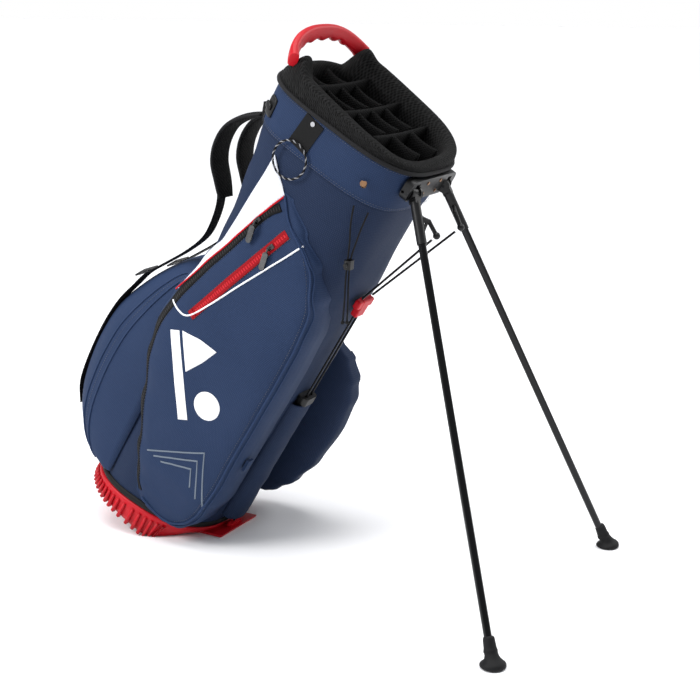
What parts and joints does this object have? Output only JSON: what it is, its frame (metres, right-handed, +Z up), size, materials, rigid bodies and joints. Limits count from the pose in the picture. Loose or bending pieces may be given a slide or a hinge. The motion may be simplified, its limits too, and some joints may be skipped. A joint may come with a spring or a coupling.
{
  "type": "golf stand bag",
  "caption": "Golf bag with divided mouth, side and back pockets, carrying straps and folding stand legs worked by push rods from a hinged ground plate.",
  "frame": {"origin": "centre of the bag's footprint box on the floor, standing on its deployed legs", "axes": "+Z up; +X from the base towards the feet, the way the bag leans; +Y across the bag"},
  "size_m": [0.995, 0.5564, 0.9245],
  "materials": {
    "navy_fabric": "woven polyester, satin",
    "black_mesh": "air mesh, matte",
    "dark_lining": "matte",
    "red_plastic": "moulded, satin",
    "black_rubber": "matte",
    "black_plastic": "moulded, satin",
    "black_webbing": "woven, matte",
    "red_tape": "coil zip",
    "zip_metal": "gloss",
    "leg_aluminium": "black anodised, gloss",
    "steel_rod": "black, satin",
    "bronze": "antique",
    "silver_metal": "polished"
  },
  "bodies": {
    "bag": {"wall_front_panel": "navy_fabric", "wall_back_panel": "navy_fabric", "wall_near_panel": "navy_fabric", "wall_far_panel": "navy_fabric", "base_cup": "red_plastic", "base_band": "black_rubber", "floor_pad": "black_rubber", "plate_hinge_rod": "steel_rod", "top_collar": "black_mesh", "collar_piping": "dark_lining", "mouth_liner": "black_mesh", "collar_band": "navy_fabric", "divider_cross_ribs": "black_mesh", "divider_short_ribs": "black_mesh", "divider_panels": "dark_lining", "stay_rods": "black_plastic", "lift_handle": "red_plastic", "handle_arms": "black_mesh", "leg_pin_far": "steel_rod", "leg_pin_near": "steel_rod", "leg_bracket": "black_plastic", "bracket_screws": "steel_rod", "rod_guide": "black_plastic", "apparel_pocket": "navy_fabric", "side_pocket": "navy_fabric", "ball_pocket": "navy_fabric", "zip_tape_main": "black_webbing", "zip_tape_chest": "red_tape", "towel_tab": "black_webbing", "tab_rivet": "silver_metal", "grommets": "bronze", "strap_clips": "black_plastic", "accessory_loop": "navy_fabric", "strap_pad_near": "black_mesh", "strap_pad_far": "black_mesh", "strap_webbing": "black_webbing", "strap_anchors": "black_webbing", "draw_cord_front": "black_webbing", "draw_cord_back": "black_webbing"},
    "leg_near": {"leg_head_near": "black_plastic", "leg_tube_near": "leg_aluminium", "leg_foot_near": "black_rubber"},
    "leg_far": {"leg_head_far": "black_plastic", "leg_tube_far": "leg_aluminium", "leg_foot_far": "black_rubber"},
    "rod_carriage": {"push_rods": "steel_rod", "rod_clip": "red_plastic"},
    "upper_rod_near": {"leg_rod_near": "steel_rod"},
    "upper_rod_far": {"leg_rod_far": "steel_rod"},
    "plate": {"ground_plate": "red_plastic"},
    "slider_main": {"zip_slider_main": "zip_metal"},
    "pull_main": {"zip_pull_main": "zip_metal"},
    "slider_chest": {"zip_slider_chest": "zip_metal"},
    "pull_chest": {"zip_pull_chest": "zip_metal"},
    "ring": {"towel_ring": "black_webbing"},
    "lock": {"cord_lock": "black_plastic"},
    "lock_button": {"cord_lock_button": "black_plastic"},
    "buckle_near": {"strap_buckle_near": "black_plastic"},
    "buckle_far": {"strap_buckle_far": "black_plastic"}
  },
  "joints": [
    {"name": "leg_near_fold", "type": "hinge", "parent": "bag", "child": "leg_near", "pos_m": [0.23162, -0.0555, 0.66597], "axis": [0.2922, 0.9398, -0.1772], "range_deg": [0, 49.79]},
    {"name": "leg_far_fold", "type": "hinge", "parent": "bag", "child": "leg_far", "pos_m": [0.23162, 0.0555, 0.66597], "axis": [-0.2922, 0.9398, 0.1772], "range_deg": [0, 49.8]},
    {"name": "rod_slide", "type": "slide", "parent": "bag", "child": "rod_carriage", "axis": [-0.5185, 0, -0.8551], "range_m": [0, 0.04577]},
    {"name": "upper_rod_near_swing", "type": "hinge", "parent": "rod_carriage", "child": "upper_rod_near", "pos_m": [0.11908, -0.018, 0.47458], "axis": [-0.3062, -0.9378, 0.1635], "range_deg": [0, 14]},
    {"name": "upper_rod_far_swing", "type": "hinge", "parent": "rod_carriage", "child": "upper_rod_far", "pos_m": [0.11908, 0.018, 0.47458], "axis": [0.3062, -0.9378, -0.1635], "range_deg": [0, 14]},
    {"name": "ground_plate_swing", "type": "hinge", "parent": "bag", "child": "plate", "pos_m": [-0.28347, 0, 0.00354], "axis": [0, 1, 0], "range_deg": [0, 30.05]},
    {"name": "main_zip_slide", "type": "slide", "parent": "bag", "child": "slider_main", "axis": [-0.7591, -0.0912, -0.6446], "range_m": [0, 0.1443]},
    {"name": "chest_zip_slide", "type": "slide", "parent": "bag", "child": "slider_chest", "axis": [-0.7651, -0.0909, -0.6375], "range_m": [0, 0.1717]},
    {"name": "main_pull_swing", "type": "hinge", "parent": "slider_main", "child": "pull_main", "pos_m": [-0.01534, -0.13656, 0.61179], "axis": [-0.9341, 0, 0.3571], "range_deg": [0, 100]},
    {"name": "chest_pull_swing", "type": "hinge", "parent": "slider_chest", "child": "pull_chest", "pos_m": [0.0107, -0.13875, 0.56944], "axis": [-0.9341, 0, 0.3571], "range_deg": [0, 100]},
    {"name": "towel_ring_swing", "type": "hinge", "parent": "bag", "child": "ring", "pos_m": [0.06184, -0.126, 0.74084], "axis": [-0.8551, 0, 0.5185], "range_deg": [0, 90]},
    {"name": "cord_lock_slide", "type": "slide", "parent": "bag", "child": "lock", "axis": [-0.0931, 0, -0.9957], "range_m": [0, 0.012]},
    {"name": "cord_lock_press", "type": "slide", "parent": "lock", "child": "lock_button", "axis": [0, 1, 0], "range_m": [0, 0.0025], "stiffness_N_per_m": 600, "springref_m": -0.001},
    {"name": "buckle_near_slide", "type": "slide", "parent": "bag", "child": "buckle_near", "axis": [-0.8744, 0, -0.4852], "range_m": [-0.012, 0.012]},
    {"name": "buckle_far_slide", "type": "slide", "parent": "bag", "child": "buckle_far", "axis": [-0.8744, 0, -0.4852], "range_m": [-0.012, 0.012]}
  ],
  "couplings": [
    {"joint": "leg_far_fold", "follows": "leg_near_fold", "ratio": 1},
    {"joint": "rod_slide", "follows": "leg_near_fold", "m_per_rad": 0.052553},
    {"joint": "upper_rod_near_swing", "follows": "leg_near_fold", "ratio": 0.28012},
    {"joint": "upper_rod_far_swing", "follows": "leg_near_fold", "ratio": 0.28012},
    {"joint": "ground_plate_swing", "follows": "leg_near_fold", "ratio": 0.60251}
  ]
}
